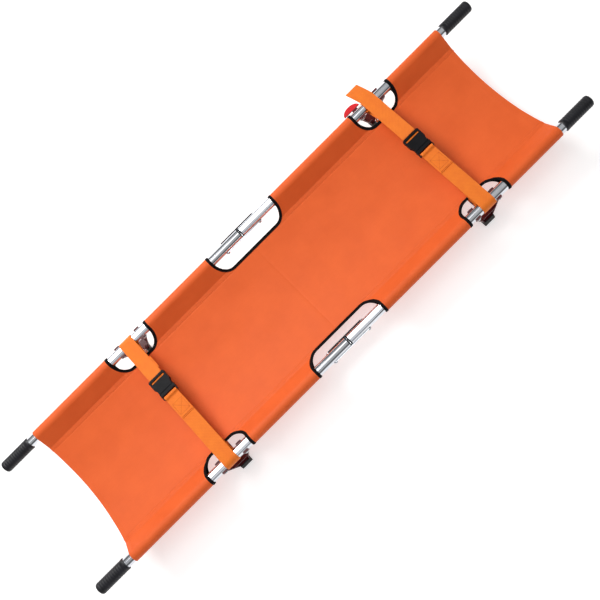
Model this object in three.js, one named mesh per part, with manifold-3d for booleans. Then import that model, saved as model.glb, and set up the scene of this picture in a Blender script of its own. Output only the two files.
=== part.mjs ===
// Folding stretcher: two carrying poles that fold in the middle, a canvas bed with hand holes sewn
// round them, four feet, two folding spreaders and two buckled restraint straps.
// Millimetres. +X towards the front grips, +Y to the left, +Z up, floor at Z = 0.
import * as THREE from 'three';
import { mergeVertices } from 'three/addons/utils/BufferGeometryUtils.js';
import Module from 'manifold-3d';

const wasm = await Module();
wasm.setup();

// ---------------------------------------------------------------- driving dimensions
const GAP = 0.3; // clearance between neighbouring pieces
const PAST = 1; // cutting shapes run this far past the faces they open

const LENGTH = 2080; // over the ends of the grips
const POLE_Y = 250; // pole centre from the middle of the bed
const POLE_Z = 125; // pole centre above the floor
const TUBE_R = 17;
const TUBE_BORE_R = 15;
const JOINT_X = 16.5; // where the two halves of each pole meet
const BORE_R = TUBE_R + GAP; // inside of everything that wraps a pole

const GRIP_R = 20;
const GRIP_LENGTH = 115;
const GRIP_END = 4; // rubber over the end of the tube

const CAP_FLANGE = 3; // plug in the inner end of each tube
const CAP_FACE = 1.2; // from the joint line to the plug's face
const CAP_SPIGOT = 14;

const LINK_HALF = 78; // half the length of the hinge link
const PIVOT_X = 70; // hinge pin from the joint line
const PIVOT_DROP = 5; // hinge pin below the pole centre
const LINK_R = 19.8; // outside of the hinge link
const LOOSE_BORE_R = BORE_R + 0.1; // inside of the hinge link and of the cloth round a pole
const LINK_RIM = 3; // top edge of its walls above the pole centre
const LINK_EAR_R = 8; // rounding of its ends about the pins
const PIN_R = 3;
const PIN_HEAD_R = 5;
const PIN_HEAD = 2.5;

const LEG = { rear: -476, front: 593 }; // leg centres along the pole
const LEG_TOP = 53; // half the width of a leg at the pole
const LEG_FOOT = 20; // and at the foot bar
const LEG_BAR_Z = 24; // underside of the foot bar
const LEG_ARM_TOP = -9; // arms end here from the pole centre, inside the saddles
const LEG_THICK = 4;
const LEG_ARM_SPAN = 4.32; // thickness of a slanting arm measured along the pole
const LEG_BAR_INSET = 2; // inside corners of the foot bar from the outside ones
const LEG_WIDTH = 26; // across the pole
const SADDLE_R = 20.3;
const SADDLE_LENGTH = 19;
const SADDLE_RIM = 9.2; // saddle cheeks above the pole centre
// Red ear beside the front left strap, along the pole from the leg's centre and out from the pole's.
const KEEPER = { from: -85, to: -22, root: SADDLE_R + 0.4, reach: 40, foot: 3, thick: 3.4 };

const PAD = { length: 42, width: 40, height: 28, taper: 3, edge: 1.5 };

const SPREADER_X_TO_PIVOT = 30; // end pivot inboard of the pole centre
const SPREADER_WIDTH = 22;
const SPREADER_THICK = 4;
const TAB_THICK = 3;
const TAB_HALF = 30; // half the length of the plate between the arms of a leg
const TAB_NOSE_R = 12; // its rounded nose round the end pin
const TAB_Z = { left: 52, right: 56.3 }; // undersides of the tabs that carry the spreader
const UPRIGHT_PIN_HEAD = 2;
const LINK_A_Z = TAB_Z.left + TAB_THICK + GAP;
const LINK_B_Z = LINK_A_Z + SPREADER_THICK + GAP;

const CANVAS = { rear: -896, front: 906 };
const CANVAS_THICK = 1.6;
const SLEEVE_R = 19.2; // outside of the sewn sleeve round the pole
const SEAM = { a: 52, c: 23 }; // sleeve seam: inboard of and below the pole centre
const SEAM_FOLD = { a: 4, c: 1.6 }; // the sleeve's hollow ends this far short of the seam
const BAND_A = 65.6; // inboard edge of the side pieces
const BAND_ROOT = { top: 1.9, under: 0.3 }; // the band over the seam where it leaves the sleeve
const BED_SAG = 30; // middle of the bed below the seams
const HOLE_A = 55; // hand holes reach this far inboard of the pole centre
const HOLE_CORNER = 42;
const HOLE_OUT = 32; // and this far outboard of it, past the sleeve
const HOLE_UP = 60; // cut this far above and below the pole centre
const BED_HOLE_GAP = 1; // the bed beside a middle hole stops short of its edge
const BED_JOINT_GAP = 0.4; // each half of the bed from the joint line
const HOLES = {
  rear: { from: -565, to: -403 },
  middle: { from: -114, to: 158 },
  front: { from: 523.5, to: 678.5 },
};
const HEM_DEPTH = 9; // hollow of the hems at both ends of the bed
const HEM_PAST = 5;

const STRAP = { rear: -484, front: 599 }; // strap centres along the pole
const STRAP_WIDTH = 50;
const STRAP_THICK = 2.2;
const STRAP_Z = POLE_Z + TUBE_R + 1.5; // middle of the webbing
const LOOP_R = 19.6; // outside of the webbing round the pole
const LOOP_SEWN = 72; // where the loop is sewn back, inboard of the pole centre
const LOOP_TIP = 0.2; // its sewn end below the middle of the run
const LOOP_HOLLOW = { short: 5, below: 1.6 }; // its hollow ends short of that and lower
const RUN_OVERLAP = 8; // the run starts this far back inside the loop's sewn end
// Free end of the front strap: it leans from `bend` outboard of the pole centre.
const TAIL = { end: 320, bend: 12, lean: -13, thick: 2.1, sunk: 0.1, fromSocket: 2 };

// Buckles, along the strap from the buckle's centre: + towards the left pole, - towards the right.
const BUCKLE_Y = { rear: 60, front: 30 };
const WEBBING_ENDS = { left: 26, right: -27 };
const SOCKET = {
  half: 31.5, mouth: -14, mouthHalf: 28, shoulder: 6, neck: -4, neckHalf: 27, end: 40, corner: 3,
  thick: 14, window: [-9, 7], slot: [25, 32], bar: 31,
};
const PLUG = {
  half: 29, end: -40, shoulder: -14.8, corner: 3, thick: 12, slot: [-33, -26], bar: -32,
  armOut: 24.6, armIn: 18.5, armHalfThick: 3.6, barb: 7, tip: 10, tongueHalf: 4, tongueHalfThick: 3,
};
const CAVITY = { half: 25, depth: 13, thick: 8 };
const SLOT_HALF = 26.5; // webbing slots
const BAR_TOP = 1.6; // top of the hollow under the outer bar, over the middle of the webbing

const BOLT_R = 3;
const BOLT_HEAD_R = 5.4;
const BOLT_HEAD = 3;
const BOLT_REACH = POLE_Y + SADDLE_R + GAP + BOLT_HEAD; // outermost point of the right side
const FRAME_SHIFT_Y = (BOLT_REACH - TAIL.end) / 2; // puts the middle of the whole object at Y = 0

const SEGMENTS = 24;

// ---------------------------------------------------------------- materials
function material(hex, roughness, metalness = 0) {
  return new THREE.MeshStandardMaterial({ color: hex, roughness, metalness });
}
const ALUMINIUM = material(0xc9cdd3, 0.25, 1);
const STEEL = material(0xaeb3ba, 0.35, 1);
const RED_PAINT = material(0xb0142c, 0.4);
const RUBBER = material(0x161616, 0.8);
const BLACK_PLASTIC = material(0x15161a, 0.45);
const CANVAS_ORANGE = material(0xe96a38, 0.8);
const WEBBING_ORANGE = material(0xf6842c, 0.85);

// ---------------------------------------------------------------- solids
function solidOf(geometry) {
  const bare = geometry.clone();
  bare.deleteAttribute('normal');
  bare.deleteAttribute('uv');
  const merged = mergeVertices(bare, 1e-4);
  return new wasm.Manifold(new wasm.Mesh({
    numProp: 3,
    vertProperties: Float32Array.from(merged.attributes.position.array),
    triVerts: Uint32Array.from(merged.index.array),
  }));
}

function geometryOf(solid) {
  const mesh = solid.getMesh();
  const geometry = new THREE.BufferGeometry();
  geometry.setAttribute('position', new THREE.BufferAttribute(Float32Array.from(mesh.vertProperties), 3));
  geometry.setIndex(new THREE.BufferAttribute(Uint32Array.from(mesh.triVerts), 1));
  geometry.computeVertexNormals();
  return geometry;
}

function join(first, ...rest) {
  return rest.reduce((sum, solid) => sum.add(solid), first);
}

function cut(body, ...tools) {
  return tools.reduce((left, tool) => left.subtract(tool), body);
}

// A flat outline given in Y and Z, drawn out from x0 to x1.
const FROM_YZ = new THREE.Matrix4().makeBasis(
  new THREE.Vector3(0, 1, 0),
  new THREE.Vector3(0, 0, 1),
  new THREE.Vector3(1, 0, 0),
);
// A flat outline given in X and Z, drawn out towards -Y.
const FROM_XZ = new THREE.Matrix4().makeBasis(
  new THREE.Vector3(1, 0, 0),
  new THREE.Vector3(0, 0, 1),
  new THREE.Vector3(0, -1, 0),
);

function extrude(shape, depth) {
  return new THREE.ExtrudeGeometry(shape, { depth, bevelEnabled: false, curveSegments: 8 });
}

function alongX(shape, x0, x1) {
  return solidOf(extrude(shape, x1 - x0).applyMatrix4(FROM_YZ).translate(x0, 0, 0));
}

function alongY(shape, y0, y1) {
  return solidOf(extrude(shape, y1 - y0).applyMatrix4(FROM_XZ).translate(0, y1, 0));
}

function alongZ(shape, z0, z1) {
  return solidOf(extrude(shape, z1 - z0).translate(0, 0, z0));
}

function outline(points) {
  return new THREE.Shape(points.map(([u, v]) => new THREE.Vector2(u, v)));
}

function box(x0, x1, y0, y1, z0, z1) {
  const geometry = new THREE.BoxGeometry(x1 - x0, y1 - y0, z1 - z0);
  return solidOf(geometry.translate((x0 + x1) / 2, (y0 + y1) / 2, (z0 + z1) / 2));
}

function ordered(a, b) {
  return a < b ? [a, b] : [b, a];
}

function rodX(radius, x0, x1, segments = SEGMENTS) {
  const geometry = new THREE.CylinderGeometry(radius, radius, x1 - x0, segments);
  return solidOf(geometry.rotateZ(Math.PI / 2).translate((x0 + x1) / 2, 0, 0));
}

function rodY(radius, x, z, y0, y1, segments = 12) {
  const geometry = new THREE.CylinderGeometry(radius, radius, y1 - y0, segments);
  return solidOf(geometry.translate(x, (y0 + y1) / 2, z));
}

function rodZ(radius, x, y, z0, z1, segments = 12) {
  const geometry = new THREE.CylinderGeometry(radius, radius, z1 - z0, segments);
  return solidOf(geometry.rotateX(Math.PI / 2).translate(x, y, (z0 + z1) / 2));
}

// A circle round the origin drawn into one point: the outline of fabric pulled round a pole.
// The tip is `a` inboard and `c` below the centre; `side` is +1 on the left pole, -1 on the right.
function teardrop(radius, a, c, side) {
  const reach = Math.hypot(a, c);
  const towards = Math.atan2(-c, a);
  const half = Math.acos(radius / reach);
  const steps = 14;
  const points = [[-side * a, -c]];
  for (let i = 0; i <= steps; i += 1) {
    const angle = towards + half + (i / steps) * (2 * Math.PI - 2 * half);
    points.push([-side * radius * Math.cos(angle), radius * Math.sin(angle)]);
  }
  return points;
}

// ---------------------------------------------------------------- the scene graph
const stretcher = new THREE.Group();
const frame = new THREE.Group();
frame.position.set(0, FRAME_SHIFT_Y, 0);
stretcher.add(frame);

const SIDES = { left: 1, right: -1 };
const rails = {};
for (const [sideName, side] of Object.entries(SIDES)) {
  rails[sideName] = new THREE.Group();
  rails[sideName].position.set(0, side * POLE_Y, POLE_Z);
  frame.add(rails[sideName]);
}

function add(group, name, solid, look) {
  const mesh = new THREE.Mesh(geometryOf(solid), look);
  mesh.name = name;
  group.add(mesh);
}

const END_SIGN = { rear: -1, front: 1 };

// ---------------------------------------------------------------- poles, grips and plugs
function tube(end) {
  const sign = END_SIGN[end];
  const inner = JOINT_X + sign * (CAP_FACE + CAP_FLANGE + GAP);
  const outer = sign * (LENGTH / 2 - GRIP_END - GAP);
  const [x0, x1] = ordered(inner, outer);
  const holes = saddleCentres(end).map((x) => rodY(BOLT_R + GAP, x, 0, -SADDLE_R, SADDLE_R));
  holes.push(rodY(PIN_R + GAP, JOINT_X + sign * PIVOT_X, -PIVOT_DROP, -SADDLE_R, SADDLE_R));
  return cut(rodX(TUBE_R, x0, x1), rodX(TUBE_BORE_R, x0 - PAST, x1 + PAST), ...holes);
}

function grip(end) {
  // radius and distance from the outer end
  const profile = [
    [0, 0], [14, 0], [18, 1.5], [GRIP_R, 6], [GRIP_R, GRIP_LENGTH - 5], [GRIP_R - 1, GRIP_LENGTH],
    [BORE_R, GRIP_LENGTH], [BORE_R, GRIP_END], [0, GRIP_END],
  ].map(([r, y]) => new THREE.Vector2(r, y));
  const geometry = new THREE.LatheGeometry(profile, 20);
  const sign = END_SIGN[end];
  geometry.rotateZ((sign * Math.PI) / 2).translate((sign * LENGTH) / 2, 0, 0);
  return facingOut(geometry);
}

// A lathe's faces point in or out with the direction of its profile, so they are turned if needed.
function facingOut(geometry) {
  const solid = solidOf(geometry);
  if (solid.volume() > 0) return solid;
  const index = geometry.index.array;
  for (let i = 0; i < index.length; i += 3) [index[i], index[i + 1]] = [index[i + 1], index[i]];
  return solidOf(geometry);
}

function jointCap(end) {
  const sign = END_SIGN[end];
  const face = JOINT_X + sign * CAP_FACE;
  const back = face + sign * CAP_FLANGE;
  const tip = back + sign * CAP_SPIGOT;
  const flange = rodX(TUBE_R, ...ordered(face, back));
  const spigot = rodX(TUBE_BORE_R - GAP, ...ordered(face, tip));
  return join(flange, spigot);
}

// ---------------------------------------------------------------- middle hinges
function lowerArc(radius) {
  const steps = SEGMENTS / 2;
  return Array.from({ length: steps + 1 }, (_, i) => {
    const angle = Math.PI + (i / steps) * Math.PI;
    return [radius * Math.cos(angle), radius * Math.sin(angle)];
  });
}

// An open half pipe under the two tube ends. Its bottom stops short of the pins so that the tubes can
// hang straight down from them when the stretcher is folded.
function hingeLink() {
  const wall = [
    ...lowerArc(LINK_R), [LINK_R, LINK_RIM], [LOOSE_BORE_R, LINK_RIM],
    ...lowerArc(LOOSE_BORE_R).reverse(), [-LOOSE_BORE_R, LINK_RIM], [-LINK_R, LINK_RIM],
  ];
  const wide = LINK_R + PAST;
  const [low, high] = [-LINK_R - PAST, LINK_RIM + PAST];
  const floorEnd = PIVOT_X - (TUBE_R - PIVOT_DROP) - 1; // 1 mm clear of the hanging tube
  let link = alongX(outline(wall), JOINT_X - LINK_HALF, JOINT_X + LINK_HALF);
  for (const sign of [-1, 1]) {
    const opening = ordered(JOINT_X + sign * floorEnd, JOINT_X + sign * (LINK_HALF + PAST));
    const pin = JOINT_X + sign * PIVOT_X;
    const tip = ordered(pin, pin + sign * (LINK_EAR_R + 2 * PAST));
    const round = rodY(LINK_EAR_R, pin, -PIVOT_DROP, -wide - PAST, wide + PAST, 16);
    link = cut(
      link,
      box(...opening, -LOOSE_BORE_R, LOOSE_BORE_R, low, high),
      cut(box(...tip, -wide, wide, low, high), round),
      rodY(PIN_R + GAP, pin, -PIVOT_DROP, -wide - PAST, wide + PAST),
    );
  }
  return link;
}

function crossPin(x, z, radius, headRadius, inside, head) {
  return join(
    rodY(radius, x, z, -inside - PAST, inside + PAST),
    rodY(headRadius, x, z, inside + GAP, inside + GAP + head),
    rodY(headRadius, x, z, -inside - GAP - head, -inside - GAP),
  );
}

// ---------------------------------------------------------------- legs and pads
function saddleCentres(end) {
  const offset = LEG_TOP - SADDLE_LENGTH / 2;
  return [LEG[end] - offset, LEG[end] + offset];
}

function leg(end, sideName) {
  const x = LEG[end];
  const top = LEG_ARM_TOP;
  const bottom = LEG_BAR_Z - POLE_Z;
  const stirrup = alongY(outline([
    [x - LEG_TOP, top], [x - LEG_FOOT, bottom], [x + LEG_FOOT, bottom], [x + LEG_TOP, top],
    [x + LEG_TOP - LEG_ARM_SPAN, top], [x + LEG_FOOT - LEG_BAR_INSET, bottom + LEG_THICK],
    [x - LEG_FOOT + LEG_BAR_INSET, bottom + LEG_THICK], [x - LEG_TOP + LEG_ARM_SPAN, top],
  ]), -LEG_WIDTH / 2, LEG_WIDTH / 2);
  const parts = [...saddleCentres(end).map(saddle), spreaderTab(end, sideName)];
  if (end === 'front' && sideName === 'left') parts.push(strapKeeper());
  const reach = SADDLE_R + PAST;
  return cut(
    join(stirrup, ...parts),
    rodX(BORE_R, x - 2 * LEG_TOP, x + 2 * LEG_TOP),
    ...saddleCentres(end).map((centre) => rodY(BOLT_R + GAP, centre, 0, -reach, reach)),
  );
}

function saddle(centre) {
  const [x0, x1] = [centre - SADDLE_LENGTH / 2, centre + SADDLE_LENGTH / 2];
  const wide = SADDLE_R + PAST;
  const above = box(x0 - PAST, x1 + PAST, -wide, wide, 0, wide);
  const cheeks = box(x0, x1, -SADDLE_R, SADDLE_R, -PAST, SADDLE_RIM);
  return join(cut(rodX(SADDLE_R, x0, x1), above), cheeks);
}

// A plate between the two arms of a leg with a rounded nose that carries the spreader's end pin.
function spreaderTab(end, sideName) {
  const x = LEG[end];
  const pivotY = -SIDES[sideName] * SPREADER_X_TO_PIVOT;
  const z = TAB_Z[sideName] - POLE_Z;
  const plate = alongZ(outline([
    [x - TAB_HALF, -LEG_WIDTH / 2], [x + TAB_HALF, -LEG_WIDTH / 2],
    [x + TAB_HALF, LEG_WIDTH / 2], [x - TAB_HALF, LEG_WIDTH / 2],
  ]), z, z + TAB_THICK);
  const arm = box(x - TAB_NOSE_R, x + TAB_NOSE_R, ...ordered(0, pivotY), z, z + TAB_THICK);
  const tab = join(plate, arm, rodZ(TAB_NOSE_R, x, pivotY, z, z + TAB_THICK, 16));
  return cut(tab, rodZ(PIN_R + GAP, x, pivotY, z - PAST, z + TAB_THICK + PAST));
}

// The ear stands out from the rear saddle of the front left leg, level with the saddle's rim.
function strapKeeper() {
  const middle = LEG.front + (KEEPER.from + KEEPER.to) / 2;
  const half = (KEEPER.to - KEEPER.from) / 2;
  const steps = 10;
  const points = Array.from({ length: steps + 1 }, (_, i) => {
    const angle = (i / steps) * Math.PI;
    const out = KEEPER.root + (KEEPER.reach - KEEPER.root) * Math.sin(angle);
    return [middle - half * Math.cos(angle), out];
  });
  const [z0, z1] = [SADDLE_RIM - KEEPER.thick, SADDLE_RIM];
  const [near] = saddleCentres('front');
  const foot = box(
    near - SADDLE_LENGTH / 2, near + SADDLE_LENGTH / 2,
    SADDLE_R - PAST, KEEPER.root + KEEPER.foot, z0, z1,
  );
  return join(alongZ(outline(points), z0, z1), foot);
}

// A rubber boot, open along the top for the foot bar.
function footPad(end) {
  const x = LEG[end];
  const half = PAD.length / 2;
  const lengthwise = padOutline(half).map(([u, z]) => [x + u, z]);
  const along = alongY(outline(lengthwise), -PAD.width / 2, PAD.width / 2);
  const across = alongX(outline(padOutline(PAD.width / 2)), x - half - PAST, x + half + PAST);
  const groove = LEG_WIDTH / 2 + GAP;
  return cut(
    along.intersect(across),
    box(x - half - PAST, x + half + PAST, -groove, groove, LEG_BAR_Z - GAP, PAD.height + PAST),
  );
}

function padOutline(half) {
  const { edge, taper, height } = PAD;
  return [
    [-half + edge, 0], [half - edge, 0], [half, edge],
    [half - taper, height], [taper - half, height], [-half, edge],
  ];
}

// ---------------------------------------------------------------- spreaders
function spreaderLink(x, yOuter, z) {
  const half = SPREADER_WIDTH / 2;
  const bar = join(
    box(x - half, x + half, ...ordered(0, yOuter), z, z + SPREADER_THICK),
    rodZ(half, x, 0, z, z + SPREADER_THICK, 16),
    rodZ(half, x, yOuter, z, z + SPREADER_THICK, 16),
  );
  return cut(
    bar,
    rodZ(PIN_R + GAP, x, 0, z - PAST, z + SPREADER_THICK + PAST),
    rodZ(PIN_R + GAP, x, yOuter, z - PAST, z + SPREADER_THICK + PAST),
  );
}

// A headed pin upright through everything between z0 and z1.
function uprightPin(x, y, z0, z1) {
  const [low, high] = [z0 - GAP, z1 + GAP];
  return join(
    rodZ(PIN_R, x, y, low - PAST, high + PAST),
    rodZ(PIN_HEAD_R, x, y, low - UPRIGHT_PIN_HEAD, low),
    rodZ(PIN_HEAD_R, x, y, high, high + UPRIGHT_PIN_HEAD),
  );
}

// ---------------------------------------------------------------- canvas
function bedHeight(y) {
  const seam = POLE_Y - SEAM.a;
  return POLE_Z - SEAM.c - BED_SAG * (1 - (y / seam) ** 2);
}

function handHole(side, hole) {
  const shape = new THREE.Shape();
  const [r, straight] = [HOLE_CORNER, HOLE_A - HOLE_CORNER];
  shape.moveTo(hole.from, -HOLE_OUT);
  shape.lineTo(hole.from, straight);
  shape.absarc(hole.from + r, straight, r, Math.PI, Math.PI / 2, true);
  shape.lineTo(hole.to - r, HOLE_A);
  shape.absarc(hole.to - r, straight, r, Math.PI / 2, 0, true);
  shape.lineTo(hole.to, -HOLE_OUT);
  const points = shape.getPoints(6).map((p) => [p.x, -side * p.y]);
  return alongZ(outline(points), -HOLE_UP, HOLE_UP);
}

// The hem at each end of the bed is hollowed so that it lies across the poles without flapping.
function hemCut(end) {
  const sign = END_SIGN[end];
  const edge = CANVAS[end];
  const half = POLE_Y - SEAM.a;
  const points = [[edge + sign * HEM_PAST, half]];
  const steps = 8;
  for (let i = 0; i <= steps; i += 1) {
    const y = half - (2 * half * i) / steps;
    points.push([edge - sign * HEM_DEPTH * (1 - (y / half) ** 2), y]);
  }
  points.push([edge + sign * HEM_PAST, -half]);
  return alongZ(outline(points), 0, POLE_Z);
}

function sideSpan(end) {
  const { from, to } = HOLES.middle;
  return end === 'rear' ? [CANVAS.rear, from + HOLE_CORNER] : [to - HOLE_CORNER, CANVAS.front];
}

// Sleeve round the pole, its seam, and the strip of bed beside it that stays with the pole.
function canvasSide(end, side) {
  const [x0, x1] = sideSpan(end);
  const root = SEAM.a - SEAM_FOLD.a;
  const drop = bedHeight(POLE_Y - BAND_A) - POLE_Z;
  const outside = teardrop(SLEEVE_R, SEAM.a, SEAM.c, side);
  const hollow = teardrop(LOOSE_BORE_R, root, SEAM.c - SEAM_FOLD.c, side);
  const band = [
    [-side * root, -SEAM.c + BAND_ROOT.top], [-side * BAND_A, drop + CANVAS_THICK / 2],
    [-side * BAND_A, drop - CANVAS_THICK / 2], [-side * root, -SEAM.c + BAND_ROOT.under],
  ];
  const sleeve = cut(alongX(outline(outside), x0, x1), alongX(outline(hollow), x0 - PAST, x1 + PAST));
  const holes = [HOLES[end], HOLES.middle].map((hole) => handHole(side, hole));
  return cut(join(sleeve, alongX(outline(band), x0, x1)), ...holes);
}

// The middle of the bed in two halves that meet over the joint line. Beside the middle hand holes it
// reaches out to the edge of the hole.
function canvasBed(end) {
  const sign = END_SIGN[end];
  const joint = JOINT_X + sign * BED_JOINT_GAP;
  const narrow = bedSection(POLE_Y - BAND_A - GAP);
  const wide = bedSection(POLE_Y - HOLE_A - BED_HOLE_GAP);
  const [sideStart, sideEnd] = sideSpan(end);
  const limit = end === 'rear' ? sideEnd + GAP : sideStart - GAP;
  const whole = join(
    alongX(outline(narrow), ...ordered(joint, CANVAS[end])),
    alongX(outline(wide), ...ordered(joint, limit)),
  );
  return cut(whole, hemCut(end));
}

function bedSection(half) {
  const steps = 12;
  const top = [];
  const under = [];
  for (let i = 0; i <= steps; i += 1) {
    const y = -half + (2 * half * i) / steps;
    top.push([y, bedHeight(y) + CANVAS_THICK / 2]);
    under.unshift([y, bedHeight(y) - CANVAS_THICK / 2]);
  }
  return [...top, ...under];
}

// ---------------------------------------------------------------- restraint straps
// Webbing sewn in a loop round the pole, with the run that leads to the buckle. Rail coordinates.
function strap(end, side, runEnd) {
  const [x0, x1] = [STRAP[end] - STRAP_WIDTH / 2, STRAP[end] + STRAP_WIDTH / 2];
  const z = STRAP_Z - POLE_Z;
  const outside = teardrop(LOOP_R, LOOP_SEWN, LOOP_TIP - z, side);
  const hollow = teardrop(LOOSE_BORE_R, LOOP_SEWN - LOOP_HOLLOW.short, LOOP_HOLLOW.below - z, side);
  const run = box(
    x0, x1,
    ...ordered(-side * (LOOP_SEWN - RUN_OVERLAP), runEnd - side * POLE_Y),
    z - STRAP_THICK / 2, z + STRAP_THICK / 2,
  );
  const loop = cut(alongX(outline(outside), x0, x1), alongX(outline(hollow), x0 - PAST, x1 + PAST));
  return join(loop, run);
}

// The free end of the front strap lies on the strap and sticks out over the left pole.
function strapTail() {
  const [x0, x1] = [STRAP.front - STRAP_WIDTH / 2, STRAP.front + STRAP_WIDTH / 2];
  const end = TAIL.end - POLE_Y;
  const start = BUCKLE_Y.front + SOCKET.end + TAIL.fromSocket - POLE_Y;
  const z = STRAP_Z - POLE_Z + STRAP_THICK / 2 - TAIL.sunk;
  return alongZ(outline([
    [x0, start], [x1, start], [x1, TAIL.bend],
    [x1 + TAIL.lean, end], [x0 + TAIL.lean, end], [x0, TAIL.bend],
  ]), z, z + TAIL.thick);
}

// ---------------------------------------------------------------- buckles
// A buckle part: its outline is the half on the +X side, from one end to the other, mirrored.
function buckleBody(x, y, thick, half) {
  const right = half.map(([u, v]) => [x + u, y + v]);
  const left = half.map(([u, v]) => [x - u, y + v]).reverse();
  return alongZ(outline([...right, ...left]), STRAP_Z - thick / 2, STRAP_Z + thick / 2);
}

function buckleSlot(x, y, [from, to], thick) {
  return box(x - SLOT_HALF, x + SLOT_HALF, y + from, y + to, STRAP_Z - thick, STRAP_Z + thick);
}

function socket(end) {
  const [x, y, z] = [STRAP[end], BUCKLE_Y[end], STRAP_Z];
  const s = SOCKET;
  const body = buckleBody(x, y, s.thick, [
    [s.mouthHalf, s.mouth], [s.neckHalf, s.neck], [s.half, s.shoulder],
    [s.half, s.end - s.corner], [s.half - s.corner, s.end],
  ]);
  const hollow = [z - CAVITY.thick / 2, z + CAVITY.thick / 2];
  const wide = s.half + PAST;
  return cut(
    body,
    box(x - CAVITY.half, x + CAVITY.half, y + s.mouth - PAST, y + CAVITY.depth, ...hollow),
    box(x - wide, x + wide, y + s.window[0], y + s.window[1], ...hollow),
    buckleSlot(x, y, s.slot, s.thick),
    box(x - SLOT_HALF, x + SLOT_HALF, y + s.bar, y + s.end + PAST, z - s.thick, z + BAR_TOP),
  );
}

function plug(end) {
  const [x, y, z] = [STRAP[end], BUCKLE_Y[end], STRAP_Z];
  const p = PLUG;
  const base = buckleBody(x, y, p.thick, [
    [p.half - p.corner, p.end], [p.half, p.end + p.corner], [p.half, p.shoulder],
  ]);
  const under = box(x - SLOT_HALF, x + SLOT_HALF, y + p.end - PAST, y + p.bar, z - p.thick, z + BAR_TOP);
  const root = y + p.shoulder - PAST;
  const arms = [-1, 1].map((sign) => alongZ(outline([
    [x + sign * p.armIn, root], [x + sign * p.armOut, root], [x + sign * p.armOut, y + p.tip - p.barb],
    [x + sign * (p.armIn + 1), y + p.tip], [x + sign * p.armIn, y + p.tip],
  ]), z - p.armHalfThick, z + p.armHalfThick));
  const tongue = box(
    x - p.tongueHalf, x + p.tongueHalf, root, y + p.tip, z - p.tongueHalfThick, z + p.tongueHalfThick,
  );
  return join(cut(base, buckleSlot(x, y, p.slot, p.thick), under), ...arms, tongue);
}

// ---------------------------------------------------------------- assembly
for (const [sideName, side] of Object.entries(SIDES)) {
  const rail = rails[sideName];
  for (const end of ['rear', 'front']) {
    const place = `${sideName}_${end}`;
    add(rail, `tube_${place}`, tube(end), ALUMINIUM);
    add(rail, `grip_${place}`, grip(end), RUBBER);
    add(rail, `joint_cap_${place}`, jointCap(end), BLACK_PLASTIC);
    add(rail, `hinge_pin_${place}`, crossPin(
      JOINT_X + END_SIGN[end] * PIVOT_X, -PIVOT_DROP, PIN_R, PIN_HEAD_R, LINK_R, PIN_HEAD,
    ), STEEL);
    add(rail, `leg_${place}`, leg(end, sideName), RED_PAINT);
    saddleCentres(end).forEach((x, i) => {
      add(rail, `leg_bolt_${place}_${i + 1}`, crossPin(
        x, 0, BOLT_R, BOLT_HEAD_R, SADDLE_R, BOLT_HEAD,
      ), STEEL);
    });
    add(rail, `canvas_side_${place}`, canvasSide(end, side), CANVAS_ORANGE);
    const pad = footPad(end).translate([0, side * POLE_Y, 0]);
    add(frame, `foot_pad_${place}`, pad, RUBBER);
  }
  add(rail, `hinge_link_${sideName}`, hingeLink(), STEEL);
}

for (const end of ['rear', 'front']) {
  const x = LEG[end];
  const pivotY = POLE_Y - SPREADER_X_TO_PIVOT;
  add(frame, `spreader_link_${end}_left`, spreaderLink(x, pivotY, LINK_A_Z), STEEL);
  add(frame, `spreader_link_${end}_right`, spreaderLink(x, -pivotY, LINK_B_Z), STEEL);
  const [topA, topB] = [LINK_A_Z + SPREADER_THICK, LINK_B_Z + SPREADER_THICK];
  add(frame, `spreader_pin_${end}_left`, uprightPin(x, pivotY, TAB_Z.left, topA), STEEL);
  add(frame, `spreader_pin_${end}_middle`, uprightPin(x, 0, LINK_A_Z, topB), STEEL);
  add(frame, `spreader_pin_${end}_right`, uprightPin(x, -pivotY, TAB_Z.right, topB), STEEL);

  add(frame, `canvas_bed_${end}`, canvasBed(end), CANVAS_ORANGE);

  const leftRun = strap(end, 1, BUCKLE_Y[end] + WEBBING_ENDS.left);
  const leftStrap = end === 'front' ? join(leftRun, strapTail()) : leftRun;
  add(rails.left, `strap_${end}_left`, leftStrap, WEBBING_ORANGE);
  const rightRun = strap(end, -1, BUCKLE_Y[end] + WEBBING_ENDS.right);
  add(rails.right, `strap_${end}_right`, rightRun, WEBBING_ORANGE);
  add(frame, `buckle_socket_${end}`, socket(end), BLACK_PLASTIC);
  add(frame, `buckle_plug_${end}`, plug(end), BLACK_PLASTIC);
}

export default stretcher;
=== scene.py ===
"""Looks of the folding stretcher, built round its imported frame.

Shapes are worked out in millimetres with Y = 0 halfway between the poles and Z = 0 on the floor;
in_frame() turns them into the frame's metres. A place across the bed is often given as `a`, the
distance inboard of a pole's centre, so that one shape serves both sides.
"""
import math

import bmesh
import bpy
from mathutils import Matrix, Vector, noise


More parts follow.
